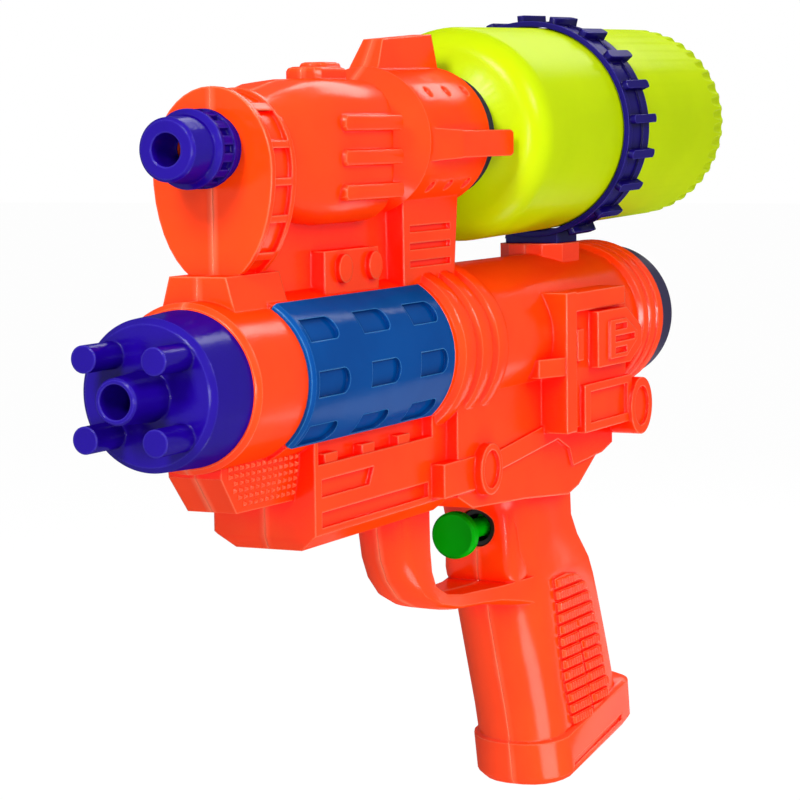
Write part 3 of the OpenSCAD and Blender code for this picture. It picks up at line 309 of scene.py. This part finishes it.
@dataclass(frozen=True)
class Plastic:
    """A moulded plastic: gloss, soft edges, flow marks and a faint skin texture.

    Flow marks lead from colour to deep; outer edges take a painted highlight and places sheltered from
    above take painted shade.
    The shelter is looked for within a reach in millimetres, along the normal leant upwards by lean.
    """

    name: str
    colour: Colour
    deep: Colour
    roughness: float = 0.22
    uneven: float = 0.05
    edge_mm: float = 0.5
    wave_mm: float = 0.05
    grain_mm: float = 0.02
    gloss: float = 0.09
    # Painted highlight: a paler colour on outer edges, at this share.
    edge_highlight: Colour | None = None
    edge_highlight_share: float = 0.7
    # Painted shade: a deeper colour where the surface is sheltered from above; the shelter is looked for
    # within a reach, along the normal leant upwards, and the shade starts below an openness.
    painted_shade: Colour | None = None
    shade_reach_mm: float = 4.0
    lean: float = 0.0
    shade_open_from: float = 0.95
    translucence: float = 0.0
    bleed_mm: Triple = (1.0, 1.0, 1.0)

    def relief(self, parts: Parts) -> Signal | float:
        """Extra height in millimetres, none on plain pieces."""
        return 0.0

    def tint(self, graph: Graph, parts: Parts, base: Signal) -> Signal:
        """Extra colour, none on plain pieces."""
        return base

    def edge_highlight_mask(self, graph: Graph, edge: Signal) -> Signal:
        """Mask of the thin outer edges, where a paler colour is painted on as a highlight.

        Args:
            graph: the material's graph.
            edge: the normal rounded over the edges.

        Returns:
            1 on an outer edge, 0 on faces and in corners.
        """
        turn = 1.0 - edge.dot(graph.face())
        return turn.ramp(*EDGE_HIGHLIGHT_TURN_SPAN) * graph.sky(EDGE_HIGHLIGHT_REACH_MM).ramp(*EDGE_HIGHLIGHT_SKY_SPAN)

    def painted_shade_mask(self, graph: Graph) -> Signal:
        """Mask of the parts sheltered from above, where a deeper colour is painted on as shade.

        Args:
            graph: the material's graph.

        Returns:
            1 where it is sheltered, 0 in the open.
        """
        lean = graph.node("ShaderNodeVectorMath", {"operation": "ADD"},
                          {0: graph.face(), 1: (0.0, 0.0, self.lean)})
        aim = graph.node("ShaderNodeVectorMath", {"operation": "NORMALIZE"}, {0: lean})
        open_sky = graph.sky(self.shade_reach_mm, aim)
        return open_sky.ramp(self.shade_open_from, self.shade_open_from - PAINTED_SHADE_SPAN)

    def base(self, graph: Graph, parts: Parts, edge: Signal) -> Signal:
        """Colour with flow marks, the seam's painted highlight, painted shade in sheltered hollows and
        painted highlights on outer edges.

        Args:
            graph: the material's graph.
            parts: object coordinates.
            edge: the normal rounded over the edges.

        Returns:
            The base colour.
        """
        flow = graph.noise(parts[0], FLOW_SCALE, FLOW_DETAIL)
        base = graph.blend(flow.ramp(*FLOW_SPAN), rgba(self.colour), rgba(self.deep))
        base = self.tint(graph, parts, base)
        # Painted shade in places sheltered from above.
        if self.painted_shade:
            base = graph.blend(self.painted_shade_mask(graph), base, rgba(self.painted_shade))
        # Painted highlight on outer edges.
        if self.edge_highlight:
            base = graph.blend(self.edge_highlight_mask(graph, edge) * self.edge_highlight_share, base, rgba(self.edge_highlight))
        return base

    def material(self) -> bpy.types.Material:
        """Builds the material.

        Returns:
            The finished node material.
        """
        made, graph = blank(self.name)
        parts = graph.place()
        wave = graph.noise(parts[0], WAVE_SCALE)
        grain = graph.noise(parts[0], GRAIN_SCALE)
        edge = graph.node("ShaderNodeBevel", {"samples": EDGE_SAMPLES}, {"Radius": self.edge_mm * MM})
        coarse = (wave - NOISE_MIDDLE) * (2 * self.uneven)
        fine = (grain - NOISE_MIDDLE) * self.uneven
        height = wave * self.wave_mm + grain * self.grain_mm + self.relief(parts)
        normal = graph.node("ShaderNodeBump", inputs={
            "Strength": 1.0, "Distance": MM, "Height": height, "Normal": edge})
        values = {"Base Color": self.base(graph, parts, edge), "Roughness": self.roughness + coarse + fine,
                  "Normal": normal}
        if self.translucence > 0:
            values |= {"Subsurface Weight": self.translucence, "Subsurface Scale": MM,
                       "Subsurface Radius": self.bleed_mm}
        dull = graph.node("ShaderNodeBsdfPrincipled", inputs=values | {"Specular IOR Level": 0.0})
        shiny = graph.node("ShaderNodeBsdfPrincipled", inputs=values | {"IOR": SHINE_IOR})
        graph.out(graph.node("ShaderNodeMixShader", inputs={0: self.gloss, 1: dull, 2: shiny}))
        return made


@dataclass(frozen=True)
class ShellPlastic(Plastic):
    """The body's plastic, with the moulding seam along the middle: a raised bead with a painted highlight
    on it.
    """

    seam_mm: float = 1.5
    seam_core: float = 0.1
    seam_high_mm: float = 0.12
    # Painted highlight on the seam's bead: its pale colour, and the least and the extra share of it.
    seam_highlight_colour: Colour = (1.0, 0.2, 0.1)
    seam_highlight_least: float = 0.1
    seam_highlight_extra: float = 0.45

    def seam(self, parts: Parts) -> Signal:
        """Mask of the seam's bead, from the distance to the middle plane.

        Args:
            parts: object coordinates.

        Returns:
            1 on the bead's core, 0 beside it.
        """
        reach = self.seam_mm * MM
        across = parts[2]
        return abs(across).ramp(reach, self.seam_core * reach)

    def tint(self, graph: Graph, parts: Parts, base: Signal) -> Signal:
        """Painted highlight along the seam's bead, in places.

        Args:
            graph: the material's graph.
            parts: object coordinates.
            base: the colour so far.

        Returns:
            The colour with the seam's painted highlight.
        """
        patches = graph.noise(parts[0], PATCH_SCALE, PATCH_DETAIL).ramp(*PATCH_SPAN)
        share = patches * self.seam_highlight_extra + self.seam_highlight_least
        # Painted highlight laid along the seam.
        return graph.blend(self.seam(parts) * share, base, rgba(self.seam_highlight_colour))

    def relief(self, parts: Parts) -> Signal:
        """Height of the seam's bead, in millimetres."""
        return self.seam(parts) * self.seam_high_mm


@dataclass(frozen=True)
class Metal:
    """Plated steel of the screws, spring and balls."""

    name: str
    colour: Colour = (0.62, 0.62, 0.64)
    dim: float = 0.8
    roughness: float = 0.28
    uneven: float = 0.12
    dent_mm: float = 0.05
    dent_share: float = 0.3

    def material(self) -> bpy.types.Material:
        """Builds the material.

        Returns:
            The finished node material.
        """
        made, graph = blank(self.name)
        streak = graph.noise(graph.place()[0], STREAK_SCALE, STREAK_DETAIL)
        base = graph.blend(streak, rgba(self.colour), rgba(shade(self.colour, self.dim)))
        normal = graph.node("ShaderNodeBump", inputs={
            "Strength": self.dent_share, "Distance": self.dent_mm * MM, "Height": streak})
        graph.out(graph.node("ShaderNodeBsdfPrincipled", inputs={
            "Base Color": base, "Metallic": 1.0, "Normal": normal,
            "Roughness": self.roughness + streak * self.uneven}))
        return made


class Finish(Enum):
    """Every finish of the squirter."""

    # In each finish below, the edge colour is a painted highlight and the sheltered colour is painted
    # shade.
    ORANGE = ShellPlastic(
        "orange_shell", (1.0, 0.056, 0.0025), (0.98, 0.047, 0.002), roughness=0.17, edge_mm=0.7,
        edge_highlight=(1.0, 0.22, 0.10), painted_shade=(1.0, 0.006, 0.001), lean=0.6, shade_reach_mm=24.0, shade_open_from=0.82,
        gloss=0.08)
    ORANGE_FINE = replace(ORANGE, name="orange_fine", edge_mm=0.3)
    PURPLE = Plastic(
        "indigo_moulding", (0.012, 0.0008, 0.245), (0.009, 0.0005, 0.205), roughness=0.16, edge_mm=0.8,
        gloss=0.055, edge_highlight=(0.045, 0.03, 0.40), painted_shade=(0.007, 0.0004, 0.15), shade_reach_mm=4.0)
    RING = Plastic(
        "navy_ring", (0.008, 0.003, 0.14), (0.006, 0.002, 0.11), roughness=0.22, edge_mm=0.4,
        gloss=0.05, edge_highlight=(0.04, 0.03, 0.32), painted_shade=(0.003, 0.001, 0.05), shade_reach_mm=3.0)
    BLUE = Plastic(
        "blue_panel", (0.0004, 0.06, 0.27), (0.0003, 0.051, 0.24), roughness=0.1,
        gloss=0.03, edge_highlight=(0.06, 0.32, 0.70), painted_shade=(0.0003, 0.03, 0.17), shade_reach_mm=2.0)
    DARK = Plastic(
        "dark_cap", (0.016, 0.010, 0.055), (0.012, 0.008, 0.045), roughness=0.2, edge_mm=0.6,
        gloss=0.11, edge_highlight=(0.10, 0.09, 0.18))
    YELLOW = Plastic(
        "yellow_tank", (0.48, 0.64, 0.0008), (0.45, 0.61, 0.0005), roughness=0.24, edge_mm=0.8,
        gloss=0.032, edge_highlight=(0.62, 0.80, 0.12), translucence=0.2, bleed_mm=(1.2, 1.6, 0.1))
    GREEN = Plastic(
        "green_trigger", (0.0005, 0.37, 0.002), (0.0004, 0.33, 0.0015), edge_mm=0.4,
        gloss=0.014, edge_highlight=(0.01, 0.46, 0.02))
    RED = Plastic("red_jet", (0.85, 0.06, 0.008), (0.75, 0.05, 0.006))
    BLACK = Plastic("black_cylinder", (0.006, 0.006, 0.007), (0.01, 0.01, 0.01), roughness=0.35)
    WHITE = Plastic("white_valve", (0.75, 0.75, 0.72), (0.7, 0.7, 0.66), roughness=0.4, gloss=0.15)
    HOSE = Plastic(
        "milky_hose", (0.78, 0.8, 0.78), (0.7, 0.73, 0.72), roughness=0.25, edge_mm=0.1, gloss=0.15)
    RUBBER = Plastic(
        "seal_rubber", (0.02, 0.02, 0.02), (0.03, 0.03, 0.03), roughness=0.6, edge_mm=0.2, gloss=0.08)
    STEEL = Metal("plated_steel")


class Palette:
    """Makes each finish once."""

    def __init__(self) -> None:
        """Starts with nothing made."""
        self.made: dict[Finish, bpy.types.Material] = {}

    def get(self, finish: Finish) -> bpy.types.Material:
        """The material of a finish.

        Args:
            finish: the finish that is wanted.

        Returns:
            Its material, the same one each time.
        """
        if finish not in self.made:
            self.made[finish] = finish.value.material()
        return self.made[finish]


def only(obj: bpy.types.Object) -> None:
    """Selects one object and makes it active.

    Args:
        obj: the object.
    """
    bpy.ops.object.select_all(action="DESELECT")
    obj.select_set(True)
    bpy.context.view_layer.objects.active = obj


def wear(obj: bpy.types.Object, material: bpy.types.Material) -> None:
    """Gives an object one material."""
    obj.data.materials.clear()
    obj.data.materials.append(material)


def settle(obj: bpy.types.Object, body: Body, finish: Finish, palette: Palette) -> bpy.types.Object:
    """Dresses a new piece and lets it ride.

    Args:
        obj: the piece.
        body: the body that carries it.
        finish: its finish.
        palette: where materials come from.

    Returns:
        The piece.
    """
    wear(obj, palette.get(finish))
    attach(obj, body.value)
    log.info("%s rides on %s", obj.name, body.value)
    return obj


@dataclass(frozen=True)
class Squeeze:
    """Settings for a soft piece that shortens with a joint; here they only make the piece keep a mesh of
    its own.
    """

    joint: str
    axis: Triple
    anchor: Triple
    keep: float


@dataclass
class NodeCopy:
    """A CAD node copied, merged and given smooth faces."""

    node: str
    body: Body
    finish: Finish
    smooth_deg: float = 32.0
    level: int = 0
    squeeze: Squeeze | None = None

    def build(self, palette: Palette) -> bpy.types.Object:
        """Makes the copy that stands for the node.

        Args:
            palette: where materials come from.

        Returns:
            The copy.
        """
        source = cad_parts[self.node]
        copy = bpy.data.objects.new(f"{self.node}_skin", source.data.copy())
        bpy.context.scene.collection.objects.link(copy)
        only(copy)
        if copy.data.has_custom_normals:
            bpy.ops.mesh.customdata_custom_splitnormals_clear()
        bpy.ops.object.mode_set(mode="EDIT")
        bpy.ops.mesh.select_all(action="SELECT")
        bpy.ops.mesh.remove_doubles(threshold=MERGE_MM * MM)
        bpy.ops.mesh.dissolve_limited(angle_limit=math.radians(FLAT_DEG))
        bpy.ops.object.mode_set(mode="OBJECT")
        if self.level:
            soft = copy.modifiers.new("soft", "SUBSURF")
            soft.levels = soft.render_levels = self.level
            bpy.ops.object.modifier_apply(modifier=soft.name)
        bpy.ops.object.shade_smooth_by_angle(angle=math.radians(self.smooth_deg))
        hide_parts(self.node)
        settle(copy, self.body, self.finish, palette)
        if self.squeeze:
            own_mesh(copy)
        return copy


@dataclass
class StudField:
    """Small studs with blunt tips, repeated over one side of the body; lengths in millimetres."""

    side: Side
    label: str = "studs"
    finish: Finish = Finish.ORANGE
    half_x: float = 0.5
    half_z: float = 0.5
    height: float = 0.5
    tip_x: float = 0.5
    tip_z: float = 0.5
    lean: float = 0.0
    toe: float = 0.0
    sunk: float = 0.1

    def surface(self, x: float, z: float) -> float:
        """Half width of the body under the field, in millimetres."""
        return 0.0

    def spots(self) -> list[Point]:
        """Middle of each stud in side view, none on a plain side."""
        return []

    def places(self) -> list[Vector]:
        """Middle of each stud's base.

        Returns:
            The places in metres, each a little below the surface.
        """
        found = []
        for x, z in self.spots():
            y = self.side.value * (self.surface(x, z) - self.sunk)
            found.append(Vector((x, y, z)) * MM)
        return found

    def stud(self) -> bpy.types.Object:
        """One stud with its base on the side face.

        Returns:
            The first stud of the field.
        """
        middle = 0.5 * self.height * MM
        bpy.ops.object.select_all(action="DESELECT")
        bpy.ops.mesh.primitive_cube_add(size=1.0)
        one = bpy.context.object
        one.name = f"{self.label}_{self.side.name.lower()}"
        bpy.ops.object.mode_set(mode="EDIT")
        bpy.ops.mesh.select_all(action="SELECT")
        bpy.ops.transform.resize(value=(2 * self.half_x * MM, 2 * self.half_z * MM, self.height * MM))
        bpy.ops.transform.translate(value=(0.0, 0.0, middle))
        bpy.ops.object.mode_set(mode="OBJECT")
        for face in one.data.polygons:
            face.select = face.normal.z > FACING_UP
        for edge in one.data.edges:
            edge.select = False
        for vertex in one.data.vertices:
            vertex.select = vertex.co.z > middle
        bpy.ops.object.mode_set(mode="EDIT")
        bpy.ops.mesh.select_mode(type="FACE")
        bpy.ops.transform.resize(value=(self.tip_x, self.tip_z, 1.0))
        bpy.ops.object.mode_set(mode="OBJECT")
        turn = self.side.value
        one.rotation_euler = (-0.5 * math.pi * turn, math.atan(self.lean), self.toe * turn)
        return one

    def build(self, palette: Palette) -> bpy.types.Object:
        """Copies the stud over the field and joins the copies.

        Args:
            palette: where materials come from.

        Returns:
            The joined field.
        """
        one = self.stud()
        places = self.places()
        one.location = places[0]
        copies = []
        for place in places[1:]:
            copy = bpy.data.objects.new(one.name, one.data.copy())
            bpy.context.scene.collection.objects.link(copy)
            copy.rotation_euler = one.rotation_euler
            copy.location = place
            copies.append(copy)
        only(one)
        for copy in copies:
            copy.select_set(True)
        bpy.ops.object.join()
        bpy.ops.object.transform_apply(location=True, rotation=True, scale=True)
        return settle(one, Body.HOUSING, self.finish, palette)


@dataclass
class NoseChequer(StudField):
    """Field of small pyramids on one side of the nose block."""

    label: str = "nose_chequer"
    half_x: float = 0.67
    half_z: float = 0.56
    height: float = 0.55
    tip_x: float = 0.36
    tip_z: float = 0.36
    toe: float = 0.08
    pitch_x: float = 2.0
    pitch_z: float = 1.5
    rows: int = 6
    top_z: float = -16.3
    rear_x: float = -30.6
    margin: float = 2.4
    step_z: float = -18.0
    step_front: float = -3.5
    step_half: float = 6.0
    step_widens: float = 2.4 / 29.5
    foot_z: float = -25.6
    foot_front: float = -10.0
    foot_half: float = 5.6
    foot_widens: float = 1.6 / 23.0

    def drop(self, z: float) -> float:
        """How far down the slanted part a height lies: 0 at the step or above, 1 at the foot."""
        return max(0.0, self.step_z - z) / (self.step_z - self.foot_z)

    def front(self, z: float) -> float:
        """Front edge of the nose's side at height z."""
        return self.step_front + (self.foot_front - self.step_front) * self.drop(z)

    def surface(self, x: float, z: float) -> float:
        """Half width of the nose block at a place on its side.

        Args:
            x: the place along the barrel.
            z: its height.

        Returns:
            The half width in millimetres.
        """
        upper = self.step_half + (self.step_front - x) * self.step_widens
        lower = self.foot_half + (self.foot_front - x) * self.foot_widens
        return upper + (lower - upper) * self.drop(z)

    def spots(self) -> list[Point]:
        """Middle of each pyramid in side view.

        Returns:
            The spots, row by row from the top.
        """
        found = []
        for row in range(self.rows):
            z = self.top_z - row * self.pitch_z
            count = int((self.front(z) - self.margin - self.rear_x) / self.pitch_x) + 1
            found += [(self.rear_x + column * self.pitch_x, z) for column in range(count)]
        return found


def inside(outline: Sequence[Point], x: float, z: float) -> bool:
    """Whether a point lies inside an outline drawn in side view.

    Args:
        outline: the corners in order.
        x: the point's place along the barrel.
        z: its height.

    Returns:
        True inside the outline.
    """
    hit = False
    for (ax, az), (bx, bz) in zip(outline, (*outline[1:], outline[0])):
        if (az > z) != (bz > z) and x < ax + (z - az) / (bz - az) * (bx - ax):
            hit = not hit
    return hit


@dataclass
class GripRibs(StudField):
    """Fine upright ribs on the lands of the grip's panel."""

    label: str = "grip_ribs"
    finish: Finish = Finish.ORANGE_FINE
    half_x: float = 0.44
    half_z: float = 0.98
    height: float = 0.75
    tip_x: float = 0.3
    tip_z: float = 0.94
    lean: float = 0.36
    toe: float = 0.0086
    pitch_x: float = 1.5
    pitch_z: float = 3.05
    lands: int = 14
    top_z: float = -62.9
    front_x: float = -150.0
    columns: int = 34
    land_x: float = -154.0
    land_z: float = -75.0
    land_lean: float = 0.37
    land_half: float = 12.5
    land_widens: float = 0.3 / 35.0
    panel: tuple[Point, ...] = (
        (-156.8, -61.6), (-164.0, -61.2), (-171.4, -62.4), (-177.0, -65.6), (-180.6, -69.6),
        (-183.4, -75.0), (-187.4, -84.5), (-191.4, -93.0), (-192.6, -97.0), (-185.6, -100.0),
        (-170.4, -103.4), (-167.0, -96.6), (-163.2, -88.0), (-160.7, -77.6), (-158.4, -67.0))
    channel: tuple[Point, ...] = ((-170.4, -76.0), (-171.8, -76.0), (-184.6, -104.0), (-183.2, -104.0))

    def surface(self, x: float, z: float) -> float:
        """Half width of the grip's lands at a place on their side.

        Args:
            x: the place along the barrel.
            z: its height.

        Returns:
            The half width in millimetres.
        """
        front = self.land_x + (z - self.land_z) * self.land_lean
        return self.land_half + (front - x) * self.land_widens

    def fits(self, x: float, z: float) -> bool:
        """Whether a whole rib lies on the panel and clear of the channel.

        Args:
            x: the rib's middle along the barrel.
            z: its height.

        Returns:
            True if all four corners do.
        """
        for up in (-self.half_z, self.half_z):
            for aside in (-self.half_x, self.half_x):
                corner = (x + aside + up * self.lean, z + up)
                if not inside(self.panel, *corner) or inside(self.channel, *corner):
                    return False
        return True

    def spots(self) -> list[Point]:
        """Middle of each rib in side view.

        Returns:
            The spots, land by land from the top.
        """
        found = []
        for land in range(self.lands):
            z = self.top_z - land * self.pitch_z
            for column in range(self.columns):
                x = self.front_x - column * self.pitch_x + (z - self.top_z) * self.lean
                if self.fits(x, z):
                    found.append((x, z))
        return found


@dataclass(frozen=True)
class SoftBox:
    """A rectangular lamp; lengths in metres."""

    name: str
    place: Triple
    size: Point
    watts: float

    def build(self, aim: Triple) -> None:
        """Adds the lamp.

        Args:
            aim: the point that it faces.
        """
        data = bpy.data.lights.new(self.name, "AREA")
        data.shape = "RECTANGLE"
        data.size, data.size_y = self.size
        data.energy = self.watts
        lamp = bpy.data.objects.new(self.name, data)
        bpy.context.scene.collection.objects.link(lamp)
        lamp.location = self.place
        lamp.visible_camera = False
        lamp.rotation_mode = "QUATERNION"
        lamp.rotation_quaternion = (Vector(aim) - Vector(self.place)).to_track_quat("-Z", "Y")


@dataclass
class Studio:
    """Camera, lamps, floor and background; lengths in metres, lens and sensor in millimetres.

    The camera's place and its three directions are fitted to the photograph.
    """

    eye: Triple = (0.4507, 0.2666, 0.0507)
    right: Triple = (-0.43694, 0.89940, -0.01265)
    up: Triple = (-0.09684, -0.03306, 0.99475)
    look: Triple = (-0.89426, -0.43587, -0.10155)
    lens: float = 120.76
    sensor: float = 36.0
    near: float = 0.01
    far: float = 50.0
    ambient: float = 0.24
    floor_z: float = -0.185
    floor_size: float = 14.0
    floor_grey: float = 0.45
    floor_glow: float = 1.05
    floor_share: float = 0.93
    aim: Triple = (-0.1, 0.0, 0.0)
    boxes: tuple[SoftBox, ...] = (
        SoftBox("front_box", place=(0.90, 0.05, 0.60), size=(0.24, 0.26), watts=10.5),
        SoftBox("side_box", place=(0.25, 0.85, 0.50), size=(0.18, 0.28), watts=5.2),
        SoftBox("low_box", place=(0.80, 0.50, -0.04), size=(0.11, 0.20), watts=3.7),
        SoftBox("rear_box", place=(-0.95, -0.08, 0.55), size=(0.60, 0.32), watts=8.0),
        SoftBox("grip_card", place=(-0.10, 0.092, -0.172), size=(0.10, 0.06), watts=0.12),
        SoftBox("rear_card", place=(-0.40, 0.01, -0.172), size=(0.30, 0.16), watts=0.55),
    )

    def camera(self) -> None:
        """Makes the camera at the photograph's viewing angle."""
        data = bpy.data.cameras.new("camera")
        data.lens = self.lens
        data.sensor_width = self.sensor
        data.clip_start, data.clip_end = self.near, self.far
        cam = bpy.data.objects.new("camera", data)
        bpy.context.scene.collection.objects.link(cam)
        columns = (self.right, self.up, tuple(-v for v in self.look))
        turn = Matrix([[columns[c][r] for c in range(3)] for r in range(3)]).to_4x4()
        cam.matrix_world = Matrix.Translation(self.eye) @ turn
        bpy.context.scene.camera = cam

    def seen(self, graph: Graph) -> Signal:
        """Mask of the rays that show the background.

        Args:
            graph: the material's or the world's graph.

        Returns:
            1 for camera rays, mirrored rays and rays that pass through, 0 for the rest.
        """
        path = graph.node("ShaderNodeLightPath", output="Is Camera Ray")
        outputs = path.socket.node.outputs
        glossy = Signal(graph, outputs["Is Glossy Ray"])
        through = Signal(graph, outputs["Is Transmission Ray"])
        return path.at_least(glossy).at_least(through)

    def world(self) -> None:
        """White background and soft light from all round."""
        world = bpy.data.worlds.new("studio")
        world.use_nodes = True
        bpy.context.scene.world = world
        graph = Graph(world.node_tree)
        strength = self.seen(graph) * (1.0 - self.ambient) + self.ambient
        light = graph.node("ShaderNodeBackground", inputs={
            "Color": rgba(PURE_WHITE), "Strength": strength})
        graph.out(light, "ShaderNodeOutputWorld")

    def floor(self) -> None:
        """Plain pale floor below the grip."""
        bpy.ops.object.select_all(action="DESELECT")
        bpy.ops.mesh.primitive_plane_add(size=self.floor_size, location=(0.0, 0.0, self.floor_z))
        floor = bpy.context.object
        floor.name = "floor"
        bpy.ops.object.transform_apply(location=True, rotation=False, scale=False)
        made, graph = blank("pale_floor")
        lit = graph.node("ShaderNodeBsdfDiffuse", inputs={
            "Color": rgba(shade(PURE_WHITE, self.floor_grey))})
        pale = graph.node("ShaderNodeEmission", inputs={
            "Color": rgba(PURE_WHITE), "Strength": self.floor_glow})
        share = self.seen(graph) * self.floor_share
        graph.out(graph.node("ShaderNodeMixShader", inputs={0: share, 1: lit, 2: pale}))
        wear(floor, made)

    def build(self) -> None:
        """Sets up everything round the object."""
        self.camera()
        self.world()
        self.floor()
        for box in self.boxes:
            box.build(self.aim)
        bpy.context.scene.view_settings.view_transform = "Standard"


@dataclass
class Squirter:
    """The whole object: dressed copies of its nodes and the studs on both sides."""

    palette: Palette = field(default_factory=Palette)
    copies: tuple[NodeCopy, ...] = (
        NodeCopy("left_shell", Body.HOUSING, Finish.ORANGE),
        NodeCopy("right_shell", Body.HOUSING, Finish.ORANGE),
        NodeCopy("muzzle_plug", Body.HOUSING, Finish.PURPLE),
        NodeCopy("sleeve_left", Body.HOUSING, Finish.BLUE),
        NodeCopy("sleeve_right", Body.HOUSING, Finish.BLUE),
        NodeCopy("rear_cap", Body.HOUSING, Finish.DARK),
        NodeCopy("nozzle", Body.NOZZLE, Finish.PURPLE),
        NodeCopy("jet_tube", Body.HOUSING, Finish.RED),
        NodeCopy("tank", Body.TANK, Finish.YELLOW),
        NodeCopy("tank_socket", Body.HOUSING, Finish.DARK),
        NodeCopy("tank_seal", Body.TANK_SEAL, Finish.RUBBER),
        NodeCopy("tank_ring", Body.HOUSING, Finish.RING),
        NodeCopy("trigger", Body.TRIGGER, Finish.GREEN),
        NodeCopy("piston_seal", Body.TRIGGER, Finish.RUBBER),
        NodeCopy("pump_cylinder", Body.HOUSING, Finish.BLACK),
        NodeCopy("valve_body", Body.HOUSING, Finish.WHITE),
        NodeCopy("inlet_ball", Body.INLET_BALL, Finish.STEEL),
        NodeCopy("outlet_ball", Body.OUTLET_BALL, Finish.STEEL),
        NodeCopy("housing_screws", Body.HOUSING, Finish.STEEL),
        NodeCopy("pickup_tube", Body.HOUSING, Finish.HOSE, TUBE_SMOOTH_DEG, level=1),
        NodeCopy("suction_hose", Body.HOUSING, Finish.HOSE, TUBE_SMOOTH_DEG, level=1),
        NodeCopy("delivery_hose", Body.HOUSING, Finish.HOSE, TUBE_SMOOTH_DEG, level=1),
        NodeCopy("trigger_spring", Body.HOUSING, Finish.STEEL, TUBE_SMOOTH_DEG, level=1,
                 squeeze=Squeeze("trigger_slide", axis=(1.0, 0.0, 0.0),
                                 anchor=(-0.1609, 0.0, -0.0467), keep=0.39)),
    )

    def build(self) -> None:
        """Makes every piece."""
        for copy in self.copies:
            copy.build(self.palette)
        for side in Side:
            NoseChequer(side).build(self.palette)
            GripRibs(side).build(self.palette)


def main() -> None:
    """Builds the studio and the squirter."""
    logging.basicConfig(level=logging.INFO, format="%(name)s: %(message)s")
    Studio().build()
    Squirter().build()


if __name__ == "__main__":
    main()
